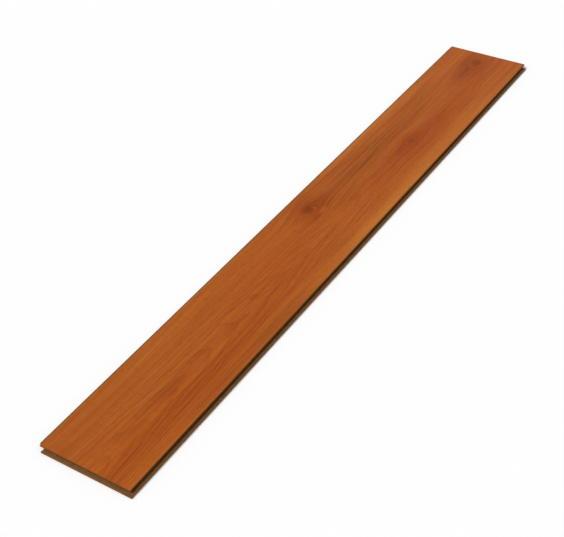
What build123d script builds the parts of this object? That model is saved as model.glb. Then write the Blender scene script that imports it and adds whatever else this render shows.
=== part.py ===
"""Laminate floor plank: one pressed board of fibreboard with a printed wood-look face.

The four edges are milled with a click profile. A tongue runs along the +Y side and the +X end.
A groove, with a longer lower lip that carries a locking ridge, runs along the -Y side and the -X end.
Frame: X along the plank, Y across it, Z up. The origin is on the underside, below the middle of the face.
"""

from build123d import *
import os

# Laying size: the part of the face that shows on a laid floor
face_length = 1200.0
face_width = 150.0

# The board's height, from the underside up
lower_lip = 2.3
groove_height = 2.8
upper_lip = 2.9

# Tongue, and the most of its height that a round may take at each corner
tongue_reach = 4.6
tongue_round = 1.0
round_share = 0.49

# Lower lip and its locking ridge
lip_reach = 5.0
ridge_height = 0.9
ridge_top = 1.5
ridge_slope = 0.5

# Room between two joined planks
joint_gap = 0.1
nose_gap = 0.4

# Small broken edges
face_bevel = 0.5
lip_chamfer = 0.3
mouth_chamfer = 0.3

# Worked out from the sizes above
thickness = lower_lip + groove_height + upper_lip
groove_top = lower_lip + groove_height
groove_depth = tongue_reach + nose_gap
ridge_base = ridge_top + ridge_slope
relief_reach = lip_reach + joint_gap
overhang = max(tongue_reach, lip_reach)


def outline(*points):
    """A face bounded by straight lines through these points."""
    return make_face(Polyline(*points, close=True))


def board(span):
    """The board's own section, with the two arrises of the face broken."""
    edge = span / 2
    return outline(
        (-edge, 0),
        (edge, 0),
        (edge, thickness - face_bevel),
        (edge - face_bevel, thickness),
        (face_bevel - edge, thickness),
        (-edge, thickness - face_bevel),
    )


def tongue(edge):
    """The tongue past a face edge, with a round nose."""
    height = groove_height - 2 * joint_gap
    middle = lower_lip + groove_height / 2
    bar = Pos(edge + tongue_reach / 2, middle) * Rectangle(tongue_reach, height)
    nose = bar.vertices().sort_by(Axis.X)[-2:]
    return fillet(nose, radius=min(tongue_round, round_share * height))


def lip_relief(edge):
    """The hollow under the tongue side that takes the next plank's lip, with the notch for its ridge."""
    ceiling = lower_lip + joint_gap
    notch_outer = edge - lip_reach + ridge_base + joint_gap
    return outline(
        (edge - relief_reach, 0),
        (edge, 0),
        (edge, ceiling),
        (notch_outer, ceiling),
        (notch_outer - ridge_slope, ceiling + ridge_height),
        (edge - relief_reach, ceiling + ridge_height),
    )


def groove(edge):
    """The groove cut back from a face edge, with a round bottom and an eased mouth."""
    middle = lower_lip + groove_height / 2
    slot = Pos(edge + groove_depth / 2, middle) * Rectangle(groove_depth, groove_height)
    bottom = slot.vertices().sort_by(Axis.X)[-2:]
    slot = fillet(bottom, radius=min(tongue_round, round_share * groove_height))
    mouth = outline(
        (edge, groove_top),
        (edge + mouth_chamfer, groove_top),
        (edge, groove_top + mouth_chamfer),
    )
    return slot + mouth


def lip(edge):
    """The lower lip past the groove's mouth, with the locking ridge along its end."""
    end = edge - lip_reach
    crest = lower_lip + ridge_height
    return outline(
        (edge, 0),
        (edge, lower_lip),
        (end + ridge_base, lower_lip),
        (end + ridge_top, crest),
        (end + lip_chamfer, crest),
        (end, crest - lip_chamfer),
        (end, lip_chamfer),
        (end + lip_chamfer, 0),
    )


def click_section(span):
    """The whole section across a face of this span: groove and lip on the left, tongue on the right."""
    edge = span / 2
    return board(span) - groove(-edge) + lip(-edge) - lip_relief(edge) + tongue(edge)


def milled(plane, span, length):
    """The board milled along both edges of a face of this span, and past both ends of its length."""
    reach = length / 2 + overhang
    return extrude(plane.offset(-reach) * click_section(span), 2 * reach)


# Each edge is milled right through, so the plank is what both pairs of milled edges leave.
# At two corners that frees a crumb of the ridge, which falls away.
sides = milled(Plane.YZ, face_width, face_length)
ends = milled(Plane.XZ, face_length, face_width)
plank = (sides & ends).solids().sort_by(SortBy.VOLUME)[-1]
plank.label = "plank"

os.makedirs("parts", exist_ok=True)
export_step(plank, "parts/plank.step")
print("plank", plank.bounding_box().size, "volume", plank.volume, "thickness", thickness)
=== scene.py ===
import bpy
import math
from mathutils import Matrix, Vector


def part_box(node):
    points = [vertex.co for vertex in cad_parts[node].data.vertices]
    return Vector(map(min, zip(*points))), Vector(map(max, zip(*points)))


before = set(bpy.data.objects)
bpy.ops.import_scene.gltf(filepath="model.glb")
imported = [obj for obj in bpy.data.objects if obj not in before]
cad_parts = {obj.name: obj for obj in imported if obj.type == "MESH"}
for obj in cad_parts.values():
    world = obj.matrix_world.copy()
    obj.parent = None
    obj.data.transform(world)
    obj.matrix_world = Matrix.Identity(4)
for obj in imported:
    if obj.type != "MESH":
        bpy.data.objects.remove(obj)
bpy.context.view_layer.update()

# The plank: one fibreboard, pressed hot between a printed wood-look paper under clear melamine and a plain
# backing paper, and then milled on its four edges with a click tongue and groove. It is laid loose.
# Its solid has that shape already, so it stays as it is, and this section gives it its finish.
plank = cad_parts["plank"]
MM = 0.001


def colour(code):
    """A colour written as sRGB hex, as the linear values that Blender works in."""
    values = [int(code[i:i + 2], 16) / 255 for i in (1, 3, 5)]
    linear = [v / 12.92 if v <= 0.04045 else ((v + 0.055) / 1.055) ** 2.4 for v in values]
    return (*linear, 1.0)


def add(tree, kind, inputs, **settings):
    """Adds a node, sets it up, fills or links its inputs, and gives back its outputs."""
    made = tree.nodes.new("ShaderNode" + kind)
    for name, value in settings.items():
        setattr(made, name, value)
    for socket, value in inputs.items():
        if isinstance(value, bpy.types.NodeSocket):
            tree.links.new(value, made.inputs[socket])
        else:
            made.inputs[socket].default_value = value
    return made.outputs


def per_size(*lengths):
    """Scale of a pattern whose repeats have these lengths along X, Y and Z, in millimetres.

    Along an axis with length 0 the pattern stays the same.
    """
    return [1 / (length * MM) if length else 0 for length in lengths]


# Melamine laminate on high-density fibreboard, pressed with a satin plate. The eye sees an orange-brown
# cherry board: golden sides, a red band and a brown one along it, fine lines, and three small knots.
laminate = bpy.data.materials.new("printed_melamine_laminate")
laminate.use_nodes = True
wood = laminate.node_tree
surface = wood.nodes["Principled BSDF"]
place = add(wood, "TexCoord", {})["Object"]
x, y, z = add(wood, "SeparateXYZ", {0: place})

# Inputs and output of a Mix node, for colours and for plain numbers
AMOUNT = 0
UNDER, OVER, MIXED = 6, 7, 2
PLAIN_UNDER, PLAIN_OVER, PLAIN_MIXED = 2, 3, 0

# The grain wanders across the board by some millimetres, over about the length of a forearm
SWAY = 12 * MM
SWAY_LENGTH_MM = 280
SWAY_WIDTH_MM = 60
SWAY_DETAIL = 2.0
swaying = add(
    wood, "VectorMath", {0: place, 1: per_size(SWAY_LENGTH_MM, SWAY_WIDTH_MM, 0)}, operation="MULTIPLY"
)[0]
sway = add(
    wood, "TexNoise", {"Vector": swaying, "Scale": 1.0, "Detail": SWAY_DETAIL}, noise_dimensions="2D"
)["Fac"]
bent = add(wood, "Math", {0: sway, 1: SWAY, 2: -SWAY / 2}, operation="MULTIPLY_ADD")[0]
bent = add(wood, "Math", {0: bent, 1: y}, operation="ADD")[0]

# Knots: the grain parts round each one, as water does round a post, so a line of equal "bent" is a line of
# the grain. Each has its place on the face and the radius of its heart in mm, and how dark it is.
knots = [
    ((564, 8, 0), 8.5, 0.40),
    ((265, -9, 0), 5.5, 0.20),
    ((6, 40, 0), 8.5, 0.50),
]
KNOT_STRETCH = 1.6
RAGGED_SIZE = 6 * MM
RAGGED_DETAIL = 2.0

# In radii of a heart: where its ragged rim starts, where it is full, and how far the grain is pushed aside
HEART_RIM = 2.0
HEART_FULL = 0.6
GRAIN_PARTED = 1.8
GRAIN_EASED = 1.2
ragged = add(wood, "TexNoise", {"Vector": place, "Scale": 1 / RAGGED_SIZE, "Detail": RAGGED_DETAIL})["Fac"]
heart = 0.0
for middle, radius_mm, depth in knots:
    radius = radius_mm * MM
    offset = add(wood, "VectorMath", {0: place, 1: Vector(middle) * MM}, operation="SUBTRACT")[0]
    offset = add(wood, "VectorMath", {0: offset, 1: (1 / KNOT_STRETCH, 1, 0)}, operation="MULTIPLY")[0]
    away = add(wood, "VectorMath", {0: offset}, operation="LENGTH")["Value"]
    aside = add(wood, "SeparateXYZ", {0: offset})["Y"]
    eased = (GRAIN_EASED * radius) ** 2
    parted = (GRAIN_PARTED * radius) ** 2
    spread = add(wood, "Math", {0: away, 1: away, 2: eased}, operation="MULTIPLY_ADD")[0]
    pull = add(wood, "Math", {0: parted, 1: spread}, operation="DIVIDE")[0]
    push = add(wood, "Math", {0: aside, 1: pull}, operation="MULTIPLY")[0]
    bent = add(wood, "Math", {0: bent, 1: push}, operation="SUBTRACT")[0]
    rim = add(wood, "Math", {0: ragged, 1: radius, 2: away}, operation="MULTIPLY_ADD")[0]
    dark = add(
        wood, "MapRange",
        {"Value": rim, "From Min": HEART_RIM * radius, "From Max": HEART_FULL * radius, "To Max": depth},
        interpolation_type="SMOOTHSTEP",
    )[0]
    heart = add(wood, "Math", {0: heart, 1: dark}, operation="MAXIMUM")[0]
grain = add(wood, "CombineXYZ", {0: x, 1: bent, 2: 0.0})[0]

# What follows the grain: length along it and width across it in mm, and steps of finer detail.
# Real pores are about 0.2 mm wide, and are drawn 0.5 mm wide so that they show.
# Each pattern starts elsewhere in the noise, so that no two of them line up.
figures = {
    "band": (600, 30, 2.0),
    "streak": (300, 9, 3.0),
    "fibre": (140, 3, 3.0),
    "hair": (80, 1, 2.0),
    "uneven": (160, 35, 2.0),
    "pin": (200, 2.6, 2.0),
    "pore": (12, 0.5, 1.0),
}
FIGURE_ROUGHNESS = 0.55
FIRST_START = Vector((2.1, 0, 0))
NEXT_START = Vector((7.3, 11.9, 0))
figure = {}
for turn, (name, (length, width, detail)) in enumerate(figures.items()):
    start = FIRST_START + turn * NEXT_START
    spaced = add(
        wood, "VectorMath", {0: grain, 1: per_size(length, width, 0), 2: start}, operation="MULTIPLY_ADD"
    )[0]
    figure[name] = add(
        wood, "TexNoise", {"Vector": spaced, "Scale": 1.0, "Detail": detail, "Roughness": FIGURE_ROUGHNESS},
        noise_dimensions="2D",
    )["Fac"]

# How much each figure moves the tone, from 0, the darkest wood, to 1, the lightest
weights = {"band": 0.28, "streak": 0.32, "fibre": 0.30, "hair": 0.22}
MIDDLE_TONE = 0.5
tone = MIDDLE_TONE - sum(weights.values()) / 2
for name, weight in weights.items():
    tone = add(wood, "Math", {0: figure[name], 1: weight, 2: tone}, operation="MULTIPLY_ADD")[0]

# Slow drifts of the print: middle on the face, half length and half width in mm, and how much lighter,
# redder and more lined the wood is there than elsewhere. Each grows from its outline to near its middle.
drifts = [
    ((300, -22, 0), (400, 38, 0), -0.03, 0.45, 0.10),
    ((230, 36, 0), (340, 34, 0), -0.15, 0.00, 0.55),
    ((150, -80, 0), (600, 45, 0), 0.14, -0.55, 0.00),
    ((280, 82, 0), (440, 32, 0), 0.16, -0.60, 0.00),
    ((-460, -34, 0), (460, 50, 0), 0.07, 0.45, 0.15),
    ((-360, 26, 0), (360, 30, 0), 0.05, 0.00, 0.00),
    ((-300, 74, 0), (400, 34, 0), 0.06, -0.05, 0.00),
    ((-120, 10, 0), (200, 80, 0), 0.05, 0.35, 0.00),
    ((545, 8, 0), (100, 30, 0), -0.12, 0.45, 0.10),
    ((260, -9, 0), (60, 22, 0), -0.03, 0.30, 0.10),
    ((10, 40, 0), (70, 32, 0), -0.12, 0.35, 0.10),
    ((18, 28, 0), (20, 9, 0), 0.24, 0.10, 0.00),
    ((60, 8, 0), (60, 30, 0), -0.07, -0.05, 0.00),
]
DRIFT_FULL = 0.1
RED_ELSEWHERE = 0.5
LINED_ELSEWHERE = 0.12
red = RED_ELSEWHERE
lined = LINED_ELSEWHERE
for middle, reach, lighter, redder, more_lined in drifts:
    offset = add(wood, "VectorMath", {0: grain, 1: Vector(middle) * MM}, operation="SUBTRACT")[0]
    offset = add(wood, "VectorMath", {0: offset, 1: per_size(*reach)}, operation="MULTIPLY")[0]
    away = add(wood, "VectorMath", {0: offset}, operation="LENGTH")["Value"]
    drift = add(
        wood, "MapRange", {"Value": away, "From Min": 1.0, "From Max": DRIFT_FULL},
        interpolation_type="SMOOTHSTEP",
    )[0]
    tone = add(wood, "Math", {0: drift, 1: lighter, 2: tone}, operation="MULTIPLY_ADD")[0]
    red = add(wood, "Math", {0: drift, 1: redder, 2: red}, operation="MULTIPLY_ADD")[0]
    lined = add(wood, "Math", {0: drift, 1: more_lined, 2: lined}, operation="MULTIPLY_ADD")[0]

# Growth rings: arches of dark late wood, unevenly about 80 mm apart along the board's middle and close
# together at its sides. Each darkens slowly and ends sharply, where the next one starts. They are plain
# towards the groove end and fade out among the knots.
RING_STEP = 80 * MM
ARCH_MIDDLE = -12 * MM
ARCH_WIDTH = 19 * MM
UNEVEN_RINGS = 2.2
LATE_WOOD_STARTS = 0.40
LATE_WOOD_DARKEST = 0.94
LATE_WOOD_ENDS = 1.0
RINGS_FAINT = 250 * MM
RINGS_PLAIN = -250 * MM
FAINT_RING = -0.03
PLAIN_RING = -0.11
from_middle = add(wood, "Math", {0: bent, 1: ARCH_MIDDLE}, operation="SUBTRACT")[0]
from_middle = add(wood, "Math", {0: from_middle, 1: ARCH_WIDTH}, operation="DIVIDE")[0]
arch = add(wood, "Math", {0: from_middle, 1: from_middle}, operation="MULTIPLY")[0]
arch = add(wood, "Math", {0: x, 1: 1 / RING_STEP, 2: arch}, operation="MULTIPLY_ADD")[0]
arch = add(wood, "Math", {0: figure["uneven"], 1: UNEVEN_RINGS, 2: arch}, operation="MULTIPLY_ADD")[0]
arch = add(wood, "Math", {0: arch}, operation="FRACT")[0]
ring = 1.0
for starts in (LATE_WOOD_STARTS, LATE_WOOD_ENDS):
    flank = add(
        wood, "MapRange", {"Value": arch, "From Min": starts, "From Max": LATE_WOOD_DARKEST},
        interpolation_type="SMOOTHSTEP",
    )[0]
    ring = add(wood, "Math", {0: flank, 1: ring}, operation="MULTIPLY")[0]
ring_depth = add(
    wood, "MapRange",
    {
        "Value": x, "From Min": RINGS_FAINT, "From Max": RINGS_PLAIN,
        "To Min": FAINT_RING, "To Max": PLAIN_RING,
    },
)[0]
tone = add(wood, "Math", {0: ring, 1: ring_depth, 2: tone}, operation="MULTIPLY_ADD")[0]

# The inks: a golden and a red wood, each from its dark to its light tone
DARK_TONE = 0.10
LIGHT_TONE = 0.90
inks = {
    "golden": {DARK_TONE: "#7b4111", MIDDLE_TONE: "#ae6024", LIGHT_TONE: "#ca7e31"},
    "red": {DARK_TONE: "#6e2b0b", MIDDLE_TONE: "#a64f19", LIGHT_TONE: "#c06722"},
}
inked = {}
for name, tones in inks.items():
    inked[name] = add(wood, "ValToRGB", {"Fac": tone})[0]
    ramp = inked[name].node.color_ramp
    ramp.elements.new(MIDDLE_TONE)
    for element, (stop, code) in zip(ramp.elements, tones.items()):
        element.position = stop
        element.color = colour(code)
printed = add(wood, "Mix", {AMOUNT: red, UNDER: inked["golden"], OVER: inked["red"]}, data_type="RGBA")[MIXED]

# Dark ink over them: the pin lines, mostly in the brown band, then the pores, then the knots' hearts.
# A line or a pore starts to show at one height of its figure's noise, and is full at another.
PIN_SHOWS = 0.52
PIN_FULL = 0.74
PORE_SHOWS = 0.58
PORE_FULL = 0.70
PORE_INK = 0.38
LINE_BROWN = colour("#643011")
PORE_BROWN = colour("#6b3112")
HEART_BROWN = colour("#631b00")
pin = add(wood, "MapRange", {"Value": figure["pin"], "From Min": PIN_SHOWS, "From Max": PIN_FULL})[0]
pin = add(wood, "Math", {0: pin, 1: lined}, operation="MULTIPLY")[0]
pore = add(wood, "MapRange", {"Value": figure["pore"], "From Min": PORE_SHOWS, "From Max": PORE_FULL})[0]
pore_ink = add(wood, "Math", {0: pore, 1: PORE_INK}, operation="MULTIPLY")[0]
for amount, ink in ((pin, LINE_BROWN), (pore_ink, PORE_BROWN), (heart, HEART_BROWN)):
    printed = add(wood, "Mix", {AMOUNT: amount, UNDER: printed, OVER: ink}, data_type="RGBA")[MIXED]

# The face's edges are broken by half a millimetre, and that bevel is stained a little darker
FACE_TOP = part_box("plank")[1][2]
FACE_BEVEL = 0.5 * MM
BEVEL_STAIN = 0.4
SLACK = 0.01 * MM
is_top = add(wood, "Math", {0: z, 1: FACE_TOP - SLACK}, operation="GREATER_THAN")[0]
stained = add(wood, "Mix", {AMOUNT: BEVEL_STAIN, UNDER: printed, OVER: LINE_BROWN}, data_type="RGBA")[MIXED]
face = add(wood, "Mix", {AMOUNT: is_top, UNDER: stained, OVER: printed}, data_type="RGBA")[MIXED]

# The milled edges show the board's own brown fibre, pressed in thin layers level with the face
CLUMP_MM = 6
LAYER_MM = 0.5
CORE_DETAIL = 4.0
CORE_ROUGHNESS = 0.7
CORE_DARK = colour("#4c2f18")
CORE_LIGHT = colour("#93673b")
layered = add(
    wood, "VectorMath", {0: place, 1: per_size(CLUMP_MM, CLUMP_MM, LAYER_MM)}, operation="MULTIPLY"
)[0]
clump = add(
    wood, "TexNoise",
    {"Vector": layered, "Scale": 1.0, "Detail": CORE_DETAIL, "Roughness": CORE_ROUGHNESS},
)["Fac"]
core = add(wood, "Mix", {AMOUNT: clump, UNDER: CORE_DARK, OVER: CORE_LIGHT}, data_type="RGBA")[MIXED]

# The underside shows the backing paper, a fifth of a millimetre thick, with its fibres along the board
BACKING = 0.2 * MM
FLECK_LENGTH_MM = 14
FLECK_WIDTH_MM = 2.5
PAPER_DETAIL = 5.0
PAPER_ROUGHNESS = 0.65
PAPER_DARK = colour("#9c7c54")
PAPER_LIGHT = colour("#cfb58c")
drawn = add(
    wood, "VectorMath", {0: place, 1: per_size(FLECK_LENGTH_MM, FLECK_WIDTH_MM, 0)}, operation="MULTIPLY"
)[0]
fleck = add(
    wood, "TexNoise",
    {"Vector": drawn, "Scale": 1.0, "Detail": PAPER_DETAIL, "Roughness": PAPER_ROUGHNESS},
)["Fac"]
paper = add(wood, "Mix", {AMOUNT: fleck, UNDER: PAPER_DARK, OVER: PAPER_LIGHT}, data_type="RGBA")[MIXED]

# Face, edges and underside lie at different heights, which tell them apart
is_face = add(wood, "Math", {0: z, 1: FACE_TOP - FACE_BEVEL - SLACK}, operation="GREATER_THAN")[0]
is_back = add(wood, "Math", {0: z, 1: BACKING}, operation="LESS_THAN")[0]
tint = add(wood, "Mix", {AMOUNT: is_face, UNDER: core, OVER: face}, data_type="RGBA")[MIXED]
tint = add(wood, "Mix", {AMOUNT: is_back, UNDER: tint, OVER: paper}, data_type="RGBA")[MIXED]
wood.links.new(tint, surface.inputs["Base Color"])

# The face is satin and a little duller in its pores, and raw fibre and paper are dull all over.
# It mirrors next to nothing, as in the photograph, so its colour stays deep in a white room.
FACE_DULL = 0.40
PORE_DULL = 0.14
FIBRE_DULL = 0.78
GLOSS = 0.05
dull = add(wood, "Math", {0: pore, 1: PORE_DULL, 2: FACE_DULL}, operation="MULTIPLY_ADD")[0]
dull = add(wood, "Mix", {AMOUNT: is_face, PLAIN_UNDER: FIBRE_DULL, PLAIN_OVER: dull})[PLAIN_MIXED]
wood.links.new(dull, surface.inputs["Roughness"])
surface.inputs["Specular IOR Level"].default_value = GLOSS

# The press plate sinks the pores and pin lines by about 0.05 mm, and milling leaves the fibre about as rough
PRESSED = 0.05 * MM
RELIEF_STRENGTH = 0.6
sunk = add(wood, "Math", {0: pore, 1: pin}, operation="ADD")[0]
sunk = add(wood, "Mix", {AMOUNT: is_face, PLAIN_UNDER: clump, PLAIN_OVER: sunk})[PLAIN_MIXED]
relief = add(wood, "Bump", {"Strength": RELIEF_STRENGTH, "Distance": PRESSED, "Height": sunk}, invert=True)[0]
wood.links.new(relief, surface.inputs["Normal"])
plank.material_slots[0].material = laminate

# The floor: a plain matt white studio floor that the plank lies on, loose. It is a hair below the plank,
# so that the two don't share a plane, and wide enough to fill the view from low angles.
FLOOR_SIDE = 60
FLOOR_DROP = 0.2 * MM
FLOOR_WHITE = colour("#fcfcfc")
FLOOR_DULL = 0.9
bpy.ops.object.select_all(action="DESELECT")
bpy.ops.mesh.primitive_plane_add(size=FLOOR_SIDE, location=(0, 0, -FLOOR_DROP))
floor = bpy.context.object
floor.name = "studio_floor"
white_paint = bpy.data.materials.new("matt_white_paint")
white_paint.use_nodes = True
matt = white_paint.node_tree.nodes["Principled BSDF"]
matt.inputs["Base Color"].default_value = FLOOR_WHITE
matt.inputs["Roughness"].default_value = FLOOR_DULL
matt.inputs["Specular IOR Level"].default_value = 0.0
floor.data.materials.append(white_paint)

# The light: an even white room and one broad soft lamp, high on the camera's left. Together they give a
# level face about the brightness that its colour is written with. The camera and what mirrors the room
# see it as plain white, but it lights the plank with less than that.
ROOM_WHITE = colour("#ffffff")
ROOM_LIGHT = 0.40
ROOM_SEEN = 1.0
LAMP_ENERGY = 2.44
LAMP_BREADTH = math.radians(40)
LAMP_PLACE = Vector((-1.8, 1.6, 3.2))
room = bpy.data.worlds.new("white_room")
room.use_nodes = True
walls = room.node_tree.nodes["Background"]
walls.inputs["Color"].default_value = ROOM_WHITE
rays = add(room.node_tree, "LightPath", {})
seen = 0.0
for ray in ("Is Camera Ray", "Is Glossy Ray", "Is Transmission Ray"):
    seen = add(room.node_tree, "Math", {0: rays[ray], 1: seen}, operation="MAXIMUM")[0]
glow = add(room.node_tree, "MapRange", {"Value": seen, "To Min": ROOM_LIGHT, "To Max": ROOM_SEEN})[0]
room.node_tree.links.new(glow, walls.inputs["Strength"])
bpy.context.scene.world = room
lamp_data = bpy.data.lights.new("soft_lamp", "SUN")
lamp_data.angle = LAMP_BREADTH
lamp_data.energy = LAMP_ENERGY
lamp = bpy.data.objects.new("soft_lamp", lamp_data)
lamp.location = LAMP_PLACE
lamp.rotation_euler = (-LAMP_PLACE).to_track_quat("-Z", "Y").to_euler()
bpy.context.scene.collection.objects.link(lamp)

# The camera: it stands where the photograph's did, about 1.1 m above the floor and looking down at 39
# degrees, and is tilted a little, as that one was. It is turned to this one plank, and its lens is about
# twice as long.
STANDPOINT = Vector((-1.2662, -0.7905, 1.1268))
TARGET = Vector((-0.1406, -0.0042, 0.008))
TILT = math.radians(-3.53)
SENSOR_WIDTH_MM = 36.0
LENS_MM = 74.5
camera_data = bpy.data.cameras.new("camera")
camera_data.sensor_fit = "HORIZONTAL"
camera_data.sensor_width = SENSOR_WIDTH_MM
camera_data.lens = LENS_MM
camera = bpy.data.objects.new("camera", camera_data)
aim = (TARGET - STANDPOINT).to_track_quat("-Z", "Y").to_matrix().to_4x4()
camera.matrix_world = Matrix.Translation(STANDPOINT) @ aim @ Matrix.Rotation(TILT, 4, "Z")
bpy.context.scene.collection.objects.link(camera)
bpy.context.scene.camera = camera
bpy.context.scene.view_settings.view_transform = "Standard"
